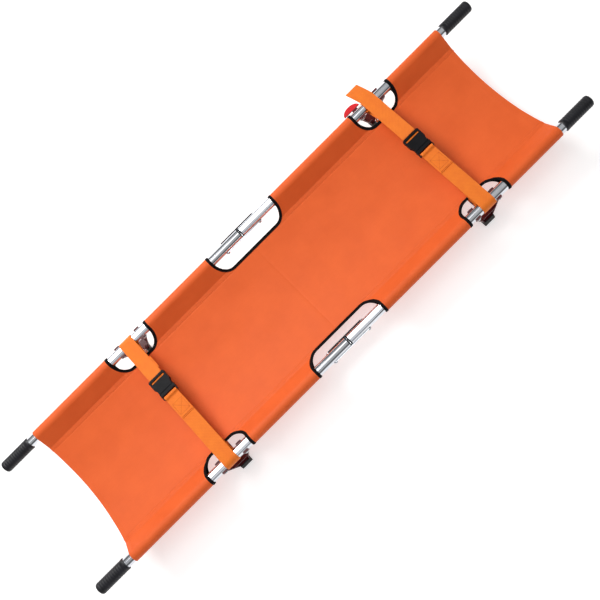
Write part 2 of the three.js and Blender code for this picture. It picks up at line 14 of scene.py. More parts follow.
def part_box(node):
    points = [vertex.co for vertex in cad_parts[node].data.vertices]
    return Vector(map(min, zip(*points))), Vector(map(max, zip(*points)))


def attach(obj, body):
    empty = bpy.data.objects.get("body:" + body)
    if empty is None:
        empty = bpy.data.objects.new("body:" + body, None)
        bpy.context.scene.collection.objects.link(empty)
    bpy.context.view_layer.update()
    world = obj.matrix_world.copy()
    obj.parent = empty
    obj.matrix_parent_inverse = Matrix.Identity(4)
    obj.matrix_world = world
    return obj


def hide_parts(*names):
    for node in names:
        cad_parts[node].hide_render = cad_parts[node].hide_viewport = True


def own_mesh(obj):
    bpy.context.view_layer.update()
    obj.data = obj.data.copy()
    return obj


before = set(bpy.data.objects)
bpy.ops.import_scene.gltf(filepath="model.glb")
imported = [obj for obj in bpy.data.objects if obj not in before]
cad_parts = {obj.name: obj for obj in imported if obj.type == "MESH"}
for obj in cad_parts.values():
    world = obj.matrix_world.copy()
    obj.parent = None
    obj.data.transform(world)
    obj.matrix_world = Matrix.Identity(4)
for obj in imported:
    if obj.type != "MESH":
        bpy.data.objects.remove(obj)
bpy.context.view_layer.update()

# ---------------------------------------------------------------- places taken from the frame
MM = 0.001
SIDES = {"left": 1, "right": -1}
ENDS = {"rear": -1, "front": 1}


def middle(node):
    low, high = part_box(node)
    return (low + high) / 2


def extent(node, axis):
    low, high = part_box(node)
    return low[axis] / MM, high[axis] / MM


MID_Y = (middle("tube_left_front").y + middle("tube_right_front").y) / 2
POLE_Y = (middle("tube_left_front").y - middle("tube_right_front").y) / 2 / MM
POLE_Z = middle("tube_left_front").z / MM
TUBE_R = (extent("tube_left_front", 2)[1] - extent("tube_left_front", 2)[0]) / 2
JOINT_X = (middle("joint_cap_left_rear").x + middle("joint_cap_left_front").x) / 2 / MM
STRAP_X = {end: middle(f"strap_{end}_right").x / MM for end in ENDS}
STRAP_Z = middle("buckle_socket_rear").z / MM
CANVAS_X = {
    "rear": extent("canvas_side_left_rear", 0)[0],
    "front": extent("canvas_side_left_front", 0)[1],
}
BUCKLE_END = {end: extent(f"buckle_socket_{end}", 1)[1] - MID_Y / MM for end in ENDS}
PLUG_END = {end: extent(f"buckle_plug_{end}", 1)[0] - MID_Y / MM for end in ENDS}
TAIL_END = extent("strap_front_left", 1)[1] - MID_Y / MM
EAR_ROOT_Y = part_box("leg_left_rear")[1].y  # the front left leg reaches further out, with its ear

# ---------------------------------------------------------------- canvas and webbing dimensions
CANVAS_THICK = 1.5
SLEEVE_R = 18.5  # middle of the sleeve's cloth
SEAM = (52, -23)  # sleeve seam: inboard of and below the pole centre
BAND_A = 65.6  # inboard edge of the side pieces
BED_SAG = 30
HOLE_A = 55
HOLE_CORNER = 42
HOLES = {"rear": (-565, -403), "middle": (-114, 158), "front": (523.5, 678.5)}
HEM_DEPTH = 9
HEM_WIDTH = 22
BINDING_WIDTH = 9
STRAP_WIDTH = 50
STRAP_THICK = 2.0
LOOP_R = 18.6  # middle of the webbing round the pole
LOOP_SEWN = 72
RIGID_A = 22  # the loop round the pole ends this far inboard of its centre, where the strap's run starts
TAIL_LEAN = -13
TAIL_BEND = 12  # the tail leans from this far outboard of the pole centre
RUN_PAST_SOCKET = 3  # the left run stops this far short of the socket
PLUG_SEWN = 80  # length of the doubled webbing sewn to the plug
PLUG_CLEAR = 24  # the webbing under it stops this far short of the plug, which slides when released


def in_frame(point):
    return Vector((point[0] * MM, point[1] * MM + MID_Y, point[2] * MM))


# ---------------------------------------------------------------- camera, light and floor
CAMERA_AIM = (0, -50, 125)
CAMERA_AWAY = (0, -0.3206, 0.9472)  # from what it looks at towards the camera
CAMERA_DISTANCE = 2.765
CAMERA_LENS = 54.1


def camera():
    """Looks down on the stretcher from its right, rolled so that the poles run up to the right."""
    away = Vector(CAMERA_AWAY)
    up_the_page = Vector((0, away.z, -away.y))
    right = (Vector((1, 0, 0)) - up_the_page).normalized()
    up = (Vector((1, 0, 0)) + up_the_page).normalized()
    data = bpy.data.cameras.new("camera")
    data.lens = CAMERA_LENS
    data.sensor_width = 36
    data.clip_end = 100
    made = bpy.data.objects.new("camera", data)
    axes = Matrix((right, up, away)).transposed().to_4x4()
    made.matrix_world = Matrix.Translation(in_frame(CAMERA_AIM) + away * CAMERA_DISTANCE) @ axes
    bpy.context.scene.collection.objects.link(made)
    bpy.context.scene.camera = made


def area_light(name, place, aim, size, power, color):
    data = bpy.data.lights.new(name, "AREA")
    data.size = size
    data.energy = power
    data.color = color
    made = bpy.data.objects.new(name, data)
    made.location = place
    made.rotation_euler = (Vector(aim) - Vector(place)).to_track_quat("-Z", "Y").to_euler()
    bpy.context.scene.collection.objects.link(made)


# Brightness of the surroundings by height: pale at the horizon, a dark band that draws crisp lines
# on the metal, and soft light from above.
WORLD_GLOW = [(0.0, 0.72), (0.14, 0.62), (0.24, 0.10), (0.52, 0.10), (0.66, 0.44), (1.0, 0.58)]


def studio():
    world = bpy.data.worlds.new("studio")
    world.use_nodes = True
    tree = world.node_tree
    direction = node(tree, "TexCoord").outputs["Generated"]
    height = node(tree, "SeparateXYZ", {"Vector": direction}).outputs["Z"]
    glow = node(tree, "ValToRGB", {"Fac": height})
    for place, _ in WORLD_GLOW[1:-1]:
        glow.color_ramp.elements.new(place)
    for element, (place, level) in zip(glow.color_ramp.elements, WORLD_GLOW):
        element.position, element.color = place, (level, level, level, 1)
    tree.links.new(glow.outputs["Color"], tree.nodes["Background"].inputs["Color"])
    bpy.context.scene.world = world
    bpy.context.scene.view_settings.view_transform = "Standard"
    area_light("key", (-0.7, 2.7, 2.7), (0, 0, 0.1), 1.7, 104, (1.0, 0.985, 0.96))
    area_light("top", (-0.6, 0.5, 3.6), (0, 0, 0.1), 3.2, 54, (1, 1, 1))
    area_light("fill", (-1.2, -2.8, 2.2), (0, 0, 0.1), 2.0, 6, (0.95, 0.97, 1.0))


# ---------------------------------------------------------------- materials
def node(tree, kind, inputs=None, **settings):
    """A shader node; an input given a socket is linked to it, any other is set."""
    made = tree.nodes.new("ShaderNode" + kind)
    for key, value in settings.items():
        setattr(made, key, value)
    for key, value in (inputs or {}).items():
        if isinstance(value, bpy.types.NodeSocket):
            tree.links.new(value, made.inputs[key])
        else:
            made.inputs[key].default_value = value
    return made


def principled(name, **constants):
    made = bpy.data.materials.new(name)
    made.use_nodes = True
    shader = made.node_tree.nodes["Principled BSDF"]
    for key, value in constants.items():
        shader.inputs[key.replace("_", " ")].default_value = value
    return made, made.node_tree, shader


def ramp(tree, factor, low, high, start=0.3, end=0.7):
    made = node(tree, "ValToRGB", {"Fac": factor})
    made.color_ramp.elements[0].position = start
    made.color_ramp.elements[0].color = (*low, 1)
    made.color_ramp.elements[1].position = end
    made.color_ramp.elements[1].color = (*high, 1)
    return made.outputs["Color"]


def value_range(tree, factor, low, high):
    made = node(tree, "MapRange", {"Value": factor, "To Min": low, "To Max": high})
    return made.outputs["Result"]


def stretched(tree, coordinates, scale):
    return node(tree, "Mapping", {"Vector": coordinates, "Scale": scale}).outputs["Vector"]


def noise_at(tree, coordinates, scale, detail=3, rough=0.55):
    inputs = {"Vector": coordinates, "Scale": scale, "Detail": detail, "Roughness": rough}
    return node(tree, "TexNoise", inputs).outputs["Fac"]


def place_on(tree):
    return node(tree, "TexCoord").outputs["Object"]


def along_cloth(tree):
    """Where a point lies on the flat cloth, in metres, kept with the mesh as it folds."""
    return node(tree, "Attribute", attribute_name="cloth").outputs["Vector"]


def arithmetic(tree, operation, first, second=0.5):
    return node(tree, "Math", {0: first, 1: second}, operation=operation).outputs["Value"]


def bumps(tree, shader, *layers):
    """layers of (height, strength, distance in metres), the broadest first."""
    normal = None
    for height, strength, distance in layers:
        made = node(tree, "Bump", {"Height": height, "Strength": strength, "Distance": distance})
        if normal:
            tree.links.new(normal, made.inputs["Normal"])
        normal = made.outputs["Normal"]
    tree.links.new(normal, shader.inputs["Normal"])


def threads(tree, coordinates, pitch, axis):
    """A wave across the threads that repeats every `pitch` metres."""
    inputs = {"Vector": coordinates, "Scale": 0.05 * 2 * math.pi / pitch}
    return node(tree, "TexWave", inputs, wave_type="BANDS", bands_direction=axis).outputs["Fac"]


def canvas_material():
    made, tree, shader = principled(
        "canvas", Sheen_Weight=0.02, Sheen_Roughness=0.5, Specular_IOR_Level=0.22,
    )
    cloth = along_cloth(tree)
    weave = arithmetic(
        tree, "MULTIPLY", threads(tree, cloth, 0.0014, "X"), threads(tree, cloth, 0.0014, "Y"),
    )
    mottle = noise_at(tree, cloth, 9, 5, 0.6)
    slub = noise_at(tree, stretched(tree, cloth, (14, 260, 1)), 1, 2)
    tone = ramp(tree, mottle, (0.70, 0.106, 0.018), (0.77, 0.126, 0.024))
    faint = value_range(tree, slub, 0.0, 0.22)
    deep = node(tree, "Mix", {0: faint, 6: tone, 7: (0.62, 0.078, 0.012, 1)}, data_type="RGBA")
    tree.links.new(deep.outputs[2], shader.inputs["Base Color"])
    tree.links.new(value_range(tree, mottle, 0.5, 0.64), shader.inputs["Roughness"])
    bumps(
        tree, shader,
        (noise_at(tree, cloth, 16, 3), 0.25, 0.003),
        (slub, 0.12, 0.0006),
        (weave, 0.35, 0.00025),
    )
    return made


def webbing_material():
    made, tree, shader = principled(
        "webbing", Sheen_Weight=0.08, Sheen_Roughness=0.5, Specular_IOR_Level=0.3,
    )
    cloth = along_cloth(tree)
    ribs = threads(tree, cloth, 0.0026, "Y")
    picks = threads(tree, cloth, 0.0032, "DIAGONAL")
    weave = arithmetic(tree, "MULTIPLY", ribs, picks)
    tone = noise_at(tree, cloth, 30, 4)
    color = ramp(tree, tone, (0.86, 0.185, 0.010), (0.93, 0.230, 0.016))
    # Painted shade: the hollows between the raised threads take a darker orange
    on_top = value_range(tree, weave, 0.62, 1.0)
    weave_with_painted_shade = node(tree, "Mix", {0: on_top, 6: (0.60, 0.100, 0.006, 1), 7: color}, data_type="RGBA")
    tree.links.new(weave_with_painted_shade.outputs[2], shader.inputs["Base Color"])
    tree.links.new(value_range(tree, tone, 0.58, 0.72), shader.inputs["Roughness"])
    bumps(tree, shader, (tone, 0.2, 0.001), (weave, 0.7, 0.0005))
    return made


def binding_material():
    made, tree, shader = principled("binding", Specular_IOR_Level=0.08)
    cloth = along_cloth(tree)
    ribs = threads(tree, cloth, 0.0018, "X")
    tone = noise_at(tree, cloth, 60, 3)
    color = ramp(tree, tone, (0.002, 0.002, 0.0025), (0.004, 0.004, 0.005))
    tree.links.new(color, shader.inputs["Base Color"])
    tree.links.new(value_range(tree, tone, 0.6, 0.8), shader.inputs["Roughness"])
    bumps(tree, shader, (ribs, 0.6, 0.0004))
    return made


def thread_material(name, low, high):
    made, tree, shader = principled(name, Specular_IOR_Level=0.2)
    twist = noise_at(tree, place_on(tree), 900, 2)
    tree.links.new(ramp(tree, twist, low, high), shader.inputs["Base Color"])
    tree.links.new(value_range(tree, twist, 0.5, 0.7), shader.inputs["Roughness"])
    bumps(tree, shader, (twist, 0.4, 0.0002))
    return made


def metal_material(name, low, high, rough, line_scale, line_depth):
    """Drawn or plated metal with fine lines along X."""
    made, tree, shader = principled(name, Metallic=1.0)
    place = place_on(tree)
    lines = noise_at(tree, stretched(tree, place, line_scale), 1, 4, 0.6)
    cloud = noise_at(tree, place, 14, 4)
    scuff = noise_at(tree, stretched(tree, place, (30, 160, 160)), 1, 6, 0.75)
    tree.links.new(ramp(tree, cloud, low, high), shader.inputs["Base Color"])
    worn = arithmetic(tree, "MULTIPLY", scuff, lines)
    tree.links.new(value_range(tree, worn, *rough), shader.inputs["Roughness"])
    bumps(tree, shader, (scuff, 0.1, 0.0003), (lines, line_depth, 0.0002))
    return made


def paint_material():
    """Red paint on the ear that stands out past the left pole; the rest of the legs are dark maroon,
    painted shade.
    """
    made, tree, shader = principled(
        "red_paint", Coat_Weight=0.25, Coat_Roughness=0.15, Specular_IOR_Level=0.3,
    )
    place = place_on(tree)
    cloud = noise_at(tree, place, 22, 4)
    peel = noise_at(tree, place, 420, 2)
    scuff = noise_at(tree, stretched(tree, place, (70, 70, 20)), 1, 7, 0.8)
    paint_red = ramp(tree, cloud, (0.54, 0.003, 0.009), (0.68, 0.006, 0.014))
    left = node(tree, "SeparateXYZ", {"Vector": place}).outputs["Y"]
    # Painted shade: everything short of the ear's root takes the dark maroon in place of the red paint
    painted_shade_mask = node(tree, "MapRange", {
        "Value": left, "From Min": EAR_ROOT_Y, "From Max": EAR_ROOT_Y + 2 * MM,
        "To Min": 1.0, "To Max": 0.0,
    }).outputs["Result"]
    maroon = (0.075, 0.004, 0.007, 1)
    color = node(tree, "Mix", {0: painted_shade_mask, 6: paint_red, 7: maroon}, data_type="RGBA").outputs[2]
    scraped = arithmetic(tree, "GREATER_THAN", scuff, 0.66)
    worn = node(tree, "Mix", {0: scraped, 6: color, 7: (0.15, 0.005, 0.009, 1)}, data_type="RGBA")
    tree.links.new(worn.outputs[2], shader.inputs["Base Color"])
    tree.links.new(value_range(tree, scuff, 0.24, 0.5), shader.inputs["Roughness"])
    bumps(tree, shader, (scuff, 0.15, 0.0003), (peel, 0.12, 0.0002))
    return made


def black_material(name, low, high, rough, grain, depth, specular=0.5):
    made, tree, shader = principled(name, Specular_IOR_Level=specular)
    place = place_on(tree)
    cloud = noise_at(tree, place, 40, 4)
    fine = noise_at(tree, place, grain, 3, 0.65)
    tree.links.new(ramp(tree, cloud, low, high), shader.inputs["Base Color"])
    tree.links.new(value_range(tree, cloud, *rough), shader.inputs["Roughness"])
    bumps(tree, shader, (cloud, 0.15, 0.0008), (fine, depth, 0.0004))
    return made


def floor_material():
    """Pale and faintly self-lit, so that shadows on it stay light."""
    made, tree, shader = principled(
        "floor", Roughness=0.9, Specular_IOR_Level=0.1,
        Emission_Color=(1, 1, 1, 1), Emission_Strength=0.52,
    )
    grain = noise_at(tree, place_on(tree), 3, 2)
    pale = ramp(tree, grain, (0.66, 0.66, 0.66), (0.69, 0.69, 0.69))
    tree.links.new(pale, shader.inputs["Base Color"])
    return made


CANVAS = canvas_material()
WEBBING = webbing_material()
BINDING = binding_material()
ORANGE_THREAD = thread_material("thread_orange", (0.60, 0.09, 0.02), (0.85, 0.16, 0.04))
BLACK_THREAD = thread_material("thread_black", (0.012, 0.012, 0.014), (0.035, 0.035, 0.04))
DARK_THREAD = thread_material("thread_rust", (0.46, 0.060, 0.008), (0.62, 0.095, 0.012))
ALUMINIUM = metal_material(
    "aluminium", (0.64, 0.66, 0.71), (0.78, 0.80, 0.84), (0.08, 0.22), (4, 420, 420), 0.05,
)
PLATED = metal_material(
    "plated_steel", (0.56, 0.58, 0.62), (0.70, 0.72, 0.75), (0.16, 0.36), (20, 220, 220), 0.05,
)
BOLT_STEEL = metal_material(
    "bolt_steel", (0.50, 0.51, 0.53), (0.66, 0.67, 0.69), (0.28, 0.5), (200, 200, 200), 0.08,
)
RED_PAINT = paint_material()
GRIP_RUBBER = black_material(
    "grip_rubber", (0.004, 0.004, 0.006), (0.010, 0.010, 0.015), (0.36, 0.52), 700, 0.3, 0.35,
)
FOOT_RUBBER = black_material(
    "foot_rubber", (0.010, 0.010, 0.010), (0.022, 0.021, 0.020), (0.6, 0.8), 500, 0.45, 0.3,
)
BUCKLE_PLASTIC = black_material(
    "buckle_plastic", (0.003, 0.003, 0.004), (0.006, 0.006, 0.008), (0.30, 0.42), 900, 0.12, 0.12,
)
CAP_PLASTIC = black_material(
    "cap_plastic", (0.003, 0.003, 0.003), (0.006, 0.006, 0.007), (0.4, 0.55), 600, 0.2, 0.12,
)

SLOTS = {
    CANVAS: "canvas", WEBBING: "webbing", ALUMINIUM: "pole_aluminium", RED_PAINT: "leg_red_paint",
    GRIP_RUBBER: "grip_rubber", FOOT_RUBBER: "foot_rubber", BUCKLE_PLASTIC: "buckle_plastic",
    CAP_PLASTIC: "joint_cap_plastic", BOLT_STEEL: "fastener_steel",
}


# ---------------------------------------------------------------- mesh building
def new_piece(name, mesh, look, body, replaced=(), slot=None):
    made = bpy.data.objects.new(name, mesh)
    bpy.context.scene.collection.objects.link(made)
    mesh.materials.clear()
    mesh.materials.append(look)
    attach(made, body)
    if replaced:
        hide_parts(*replaced)
    slot = slot or SLOTS.get(look)
    return made


def smooth(mesh, sharp_over=40):
    for face in mesh.polygons:
        face.use_smooth = True
    mesh.set_sharp_from_angle(angle=math.radians(sharp_over))


def mesh_from(name, points, faces, cloth=None, weld=False, sharp_over=40, outwards=True):
    """points in millimetres; cloth gives each point's place on the flat cloth, also in millimetres."""
    mesh = bpy.data.meshes.new(name)
    mesh.from_pydata([in_frame(p) for p in points], [], faces)
    if cloth:
        attribute = mesh.attributes.new("cloth", "FLOAT_VECTOR", "POINT")
        for i, (u, v) in enumerate(cloth):
            attribute.data[i].vector = (u * MM, v * MM, 0)
    work = bmesh.new()
    work.from_mesh(mesh)
    loose = [v for v in work.verts if not v.link_faces]
    bmesh.ops.delete(work, geom=loose, context="VERTS")
    if weld:
        bmesh.ops.remove_doubles(work, verts=work.verts, dist=1e-6)
    if outwards:
        bmesh.ops.recalc_face_normals(work, faces=work.faces)
    work.to_mesh(mesh)
    work.free()
    smooth(mesh, sharp_over)
    return mesh


def strip_faces(rows, columns, keep=None, round_rows=False, round_columns=False):
    """Quads of a grid numbered row by row, without those that keep(row, column) turns down."""
    faces = []
    for i in range(rows if round_rows else rows - 1):
        for j in range(columns if round_columns else columns - 1):
            if keep and not keep(i, j):
                continue
            i1, j1 = (i + 1) % rows, (j + 1) % columns
            faces.append((i * columns + j, i1 * columns + j, i1 * columns + j1, i * columns + j1))
    return faces


AXES = {"x": (0, 1, 2), "y": (1, 2, 0), "z": (2, 0, 1)}


def turned(name, axis, centre, profile, steps=48, sharp_over=35):
    """A closed shape turned about an axis: profile is (distance along it, radius) from end to end."""
    along, across, up = AXES[axis]
    points = []
    for distance, radius in profile:
        for step in range(steps):
            angle = 2 * math.pi * step / steps
            point = list(centre)
            point[along] += distance
            point[across] += radius * math.cos(angle)
            point[up] += radius * math.sin(angle)
            points.append(point)
    closed = profile[0] == profile[-1]
    faces = strip_faces(len(profile), steps, round_columns=True)
    if closed:
        points = points[:-steps]
        faces = strip_faces(len(profile) - 1, steps, round_rows=True, round_columns=True)
    return mesh_from(name, points, faces, weld=True, sharp_over=sharp_over)


def solidified(piece, thickness, offset=0.0):
    modifier = piece.modifiers.new("thickness", "SOLIDIFY")
    modifier.thickness = thickness * MM
    modifier.offset = offset
    modifier.use_even_offset = True
    shading = piece.modifiers.new("shading", "WEIGHTED_NORMAL")
    shading.weight = 100
    shading.keep_sharp = True
    return piece


def refined(cad_node, name, look, body, bevel, segments=2, slot=None):
    """A CAD piece with its flat facets joined, its edges rounded and its shading smoothed."""
    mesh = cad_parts[cad_node].data.copy()
    mesh.name = name
    work = bmesh.new()
    work.from_mesh(mesh)
    bmesh.ops.remove_doubles(work, verts=work.verts, dist=1e-6)
    bmesh.ops.dissolve_limit(
        work, angle_limit=math.radians(0.5), verts=work.verts, edges=work.edges,
    )
    bmesh.ops.recalc_face_normals(work, faces=work.faces)
    work.to_mesh(mesh)
    work.free()
    smooth(mesh)
    made = new_piece(name, mesh, look, body, [cad_node], slot)
    rounding = made.modifiers.new("rounding", "BEVEL")
    rounding.width = bevel * MM
    rounding.segments = segments
    rounding.limit_method = "ANGLE"
    rounding.angle_limit = math.radians(42)
    rounding.harden_normals = True
    return made


def stitch_run(line, pitch, length, radius, phase=0.5):
    """Separate stitches along a line of (point, normal); each is a small round-ended capsule."""
    points, faces = [], []
    travelled, wanted = 0.0, pitch * phase
    for (p0, n0), (p1, n1) in zip(line, line[1:]):
        start, step = Vector(p0), Vector(p1) - Vector(p0)
        span = step.length
        while span > 0 and wanted <= travelled + span:
            share = (wanted - travelled) / span
            direction = step / span
            normal = Vector(n0).lerp(Vector(n1), share).normalized()
            across = direction.cross(normal).normalized()
            centre = start + step * share + normal * radius * 0.25
            base = len(points)
            for reach, girth in ((-0.5, 0.0), (-0.34, 1.0), (0.34, 1.0), (0.5, 0.0)):
                middle_point = centre + direction * length * reach - normal * radius * (1 - girth)
                ring = 6 if girth else 1
                for k in range(ring):
                    turn = 2 * math.pi * k / 6
                    out = across * math.cos(turn) + normal * math.sin(turn)
                    points.append(middle_point + out * radius * girth)
            first, last = base, base + 13
            for k in range(6):
                k1 = (k + 1) % 6
                faces.append((first, base + 1 + k1, base + 1 + k))
                faces.append((base + 1 + k, base + 1 + k1, base + 7 + k1, base + 7 + k))
                faces.append((base + 7 + k, base + 7 + k1, last))
            wanted += pitch
        travelled += span
    return points, faces


def stitches(name, lines, look, body, pitch=4.6, length=3.4, radius=0.42):
    points, faces = [], []
    for line in lines:
        more, quads = stitch_run(line, pitch, length, radius)
        faces += [tuple(i + len(points) for i in face) for face in quads]
        points += more
    return new_piece(name, mesh_from(name, points, faces, sharp_over=80), look, body)


# ---------------------------------------------------------------- canvas shapes
def bed_height(y):
    """Middle of the bed's cloth, before its small ripples."""
    return POLE_Z + SEAM[1] - BED_SAG * (1 - (y / (POLE_Y - SEAM[0])) ** 2)


def hem_edge(end, y):
    half = POLE_Y - SEAM[0]
    return CANVAS_X[end] - ENDS[end] * HEM_DEPTH * max(0, 1 - (y / half) ** 2)


class Section:
    """The sleeve's cloth across the pole, as points (a, height over the pole centre) with normals.

    It starts at the inboard edge of the band, climbs from the seam to the pole, goes round its
    outer side and comes back underneath to the seam.
    """

    def __init__(self):
        a, h = SEAM
        reach = math.hypot(a, h)
        towards = math.atan2(h, a)
        half = math.acos(SLEEVE_R / reach)
        self.upper = towards + half
        self.lower = towards - half + 2 * math.pi
        bends = [math.radians(90) * k / 12 for k in range(12, -1, -1)]
        flank_start = SLEEVE_R * math.cos(self.upper)
        corner = [HOLE_A - HOLE_CORNER + HOLE_CORNER * math.sin(t) for t in bends]
        band = [BAND_A, 62, 58.5, SEAM[0]]
        above = sorted(set(band + [c for c in corner if c > flank_start]), reverse=True)
        rows = [(x, self.above(x)) for x in above]
        turns = 26
        for k in range(turns + 1):
            angle = self.upper + (self.lower - self.upper) * k / turns
            rows.append((SLEEVE_R * math.cos(angle), SLEEVE_R * math.sin(angle)))
        low_start = SLEEVE_R * math.cos(self.lower)
        below = sorted(x for x in corner + [4.0] if low_start < x < SEAM[0] - 1)
        rows += [(x, self.below(x)) for x in below + [SEAM[0] - 0.5]]
        self.rows = rows
        self.lengths = [0.0]
        for (a0, h0), (a1, h1) in zip(rows, rows[1:]):
            self.lengths.append(self.lengths[-1] + math.hypot(a1 - a0, h1 - h0))
        self.seam_at = above.index(SEAM[0])
        self.hole_at = above.index(HOLE_A)
        self.normals = []
        for i in range(len(rows)):
            before, after = rows[max(i - 1, 0)], rows[min(i + 1, len(rows) - 1)]
            da, dh = after[0] - before[0], after[1] - before[1]
            size = math.hypot(da, dh)
            self.normals.append((dh / size, -da / size))

    def above(self, a):
        if a >= SEAM[0]:
            return bed_height(POLE_Y - a) - POLE_Z
        a0, h0 = SLEEVE_R * math.cos(self.upper), SLEEVE_R * math.sin(self.upper)
        return h0 + (SEAM[1] - h0) * (a - a0) / (SEAM[0] - a0)

    def below(self, a):
        a0, h0 = SLEEVE_R * math.cos(self.lower), SLEEVE_R * math.sin(self.lower)
        return h0 + (SEAM[1] - 1.4 - h0) * (a - a0) / (SEAM[0] - a0)

    def at(self, length):
        """(a, height, normal) at a distance along the cloth."""
        length = min(max(length, 0), self.lengths[-1])
        for i in range(1, len(self.lengths)):
            if length <= self.lengths[i]:
                break
        share = (length - self.lengths[i - 1]) / (self.lengths[i] - self.lengths[i - 1])

        def between(values):
            return [p + (q - p) * share for p, q in zip(values[i - 1], values[i])]

        return (*between(self.rows), between(self.normals))


SECTION = Section()


def hole_corner(a):
    """How far the rounded corner of a hole has come in from its end at distance a."""
    straight = HOLE_A - HOLE_CORNER
    if a <= straight:
        return 0
    if a >= HOLE_A:
        return HOLE_CORNER
    return HOLE_CORNER - math.sqrt(max(HOLE_CORNER ** 2 - (a - straight) ** 2, 0))


def ripple(x, y):
    """Small unevenness of the stretched cloth: soft waves, and gathers that fade from the seams."""
    inboard = POLE_Y - abs(y)
    broad = 2.0 * noise.noise((x * 0.006, y * 0.011, 3.1)) + 0.7 * noise.noise((x * 0.02, y * 0.02, 7.7))
    from_band = max(0.0, inboard - BAND_A)
    settle = min(1.0, from_band / 60) * min(1.0, abs(x - JOINT_X) / 90)
    rise = min(1.0, from_band / 30)
    gather = noise.noise((x * 0.06, 0.0, 1.3 * (y > 0))) * math.exp(-from_band / 40) * rise * rise
    return (broad * settle + 1.2 * gather) * settle


def skin(side, x, along, lift=0.0):
    """Point and normal of the side piece's cloth at x and a distance along its section."""
    a, h, (na, nh) = SECTION.at(along)
    flank = max(0.0, min(1.0, (a - 14) / 14)) * max(0.0, min(1.0, (SEAM[0] - a) / 8))
    puff = 0.8 * flank * noise.noise((x * 0.022, along * 0.03, 5.0 + side))
    reach = lift + puff
    point = (x, side * (POLE_Y - (a + na * reach)), POLE_Z + h + nh * reach)
    return point, (0.0, -side * na, nh)


def hole_ends(end):
    """X of the outer hem, the end hole's edges, the middle hole's edge and the joint, in order."""
    first, second = HOLES[end] if end == "rear" else reversed(HOLES[end])
    middle_edge = HOLES["middle"][0 if end == "rear" else 1]
    return CANVAS_X[end], first, second, middle_edge, JOINT_X


def canvas_side(side_name, end):
    side, towards_joint = SIDES[side_name], -ENDS[end]
    hem, first, second, middle_edge, joint = hole_ends(end)
    counts = (26, 12, 24, 12)
    rows = len(SECTION.rows)
    points, cloth = [], []
    for i in range(rows):
        corner = hole_corner(SECTION.rows[i][0]) * towards_joint
        knots = (hem, first + corner, second - corner, middle_edge + corner, joint)
        for k, count in enumerate(counts):
            for j in range(count + (k == 3)):
                x = knots[k] + (knots[k + 1] - knots[k]) * j / count
                point, _ = skin(side, x, SECTION.lengths[i])
                points.append(point)
                cloth.append((x, SECTION.lengths[i]))
    columns = sum(counts) + 1
    in_holes = set(range(counts[0], counts[0] + counts[1])) | set(range(sum(counts[:3]), columns))

    def is_cloth(row, column):
        return column not in in_holes or row < SECTION.hole_at

    faces = strip_faces(rows, columns, is_cloth)
    name = f"canvas_sleeve_{side_name}_{end}"
    body = f"{side_name}_{end}"
    mesh = mesh_from(name, points, faces, cloth, sharp_over=17)
    piece = new_piece(name, mesh, CANVAS, body, [f"canvas_side_{side_name}_{end}"])
    solidified(piece, CANVAS_THICK)
    extra = [
        binding(side_name, end, "end"), binding(side_name, end, "middle"),
        seam_stitches(side_name, end),
    ]
    return piece


def hole_line(end, which):
    """The edge of a hole on the flat cloth, as (x, distance along the section), from under the pole
    up over it and along the hole's inner side."""
    _, first, second, middle_edge, joint = hole_ends(end)
    towards_joint = -ENDS[end]
    order = range(len(SECTION.rows) - 1, SECTION.hole_at - 1, -1)

    def climb(edge, sign):
        return [
            (edge + sign * hole_corner(SECTION.rows[i][0]), SECTION.lengths[i]) for i in order
        ]

    if which == "middle":
        rise = climb(middle_edge, towards_joint)
        return rise + [
            (rise[-1][0] + (joint - rise[-1][0]) * k / 10, rise[-1][1]) for k in range(1, 11)
        ]
    rise, fall = climb(first, towards_joint), climb(second, -towards_joint)[::-1]
    flat = [
        (rise[-1][0] + (fall[0][0] - rise[-1][0]) * k / 9, rise[-1][1]) for k in range(1, 9)
    ]
    return rise + flat + fall


def inward_steps(line, end):
    """Unit steps from the hole's edge into the cloth at each point of the line."""
    steps = []
    towards_joint = -ENDS[end]
    for i in range(len(line)):
        before, after = line[max(i - 1, 0)], line[min(i + 1, len(line) - 1)]
        dx, ds = after[0] - before[0], after[1] - before[1]
        size = math.hypot(dx, ds) or 1
        steps.append((ds / size * towards_joint, -dx / size * towards_joint))
    return steps


def binding(side_name, end, which):
    """Black tape folded over the edge of a hand hole, with its stitches."""
    side = SIDES[side_name]
    line = hole_line(end, which)
    steps = inward_steps(line, end)
    over = CANVAS_THICK / 2 + 0.9
    profile = [
        (BINDING_WIDTH, CANVAS_THICK / 2 + 0.1), (BINDING_WIDTH - 0.6, over),
        (5, over + 0.15), (1.2, over),
        (-0.6, over * 0.6), (-1.0, 0), (-0.6, -over * 0.6), (1.2, -1.2),
        (BINDING_WIDTH - 0.6, -1.2), (BINDING_WIDTH, -CANVAS_THICK / 2 + 0.1),
    ]
    points, cloth = [], []
    travelled = 0.0
    for i, ((x, along), (dx, ds)) in enumerate(zip(line, steps)):
        if i:
            travelled += math.hypot(x - line[i - 1][0], along - line[i - 1][1])
        for across, lift in profile:
            place = min(max(along + ds * across, 0), SECTION.lengths[-1])
            points.append(skin(side, x + dx * across, place, lift)[0])
            cloth.append((travelled, across))
    faces = strip_faces(len(line), len(profile))
    name = f"binding_{which}_{side_name}_{end}"
    body = f"{side_name}_{end}"
    made = new_piece(name, mesh_from(name, points, faces, cloth, sharp_over=60), BINDING, body)
    inset = 6.4
    sewn = [
        skin(side, x + dx * inset, min(max(along + ds * inset, 0), SECTION.lengths[-1]), over + 0.3)
        for (x, along), (dx, ds) in zip(line, steps)
    ]
    thread = stitches(f"{name}_stitches", [sewn], BLACK_THREAD, body)
    thread.parent = made
    thread.matrix_parent_inverse = Matrix.Identity(4)
    return made


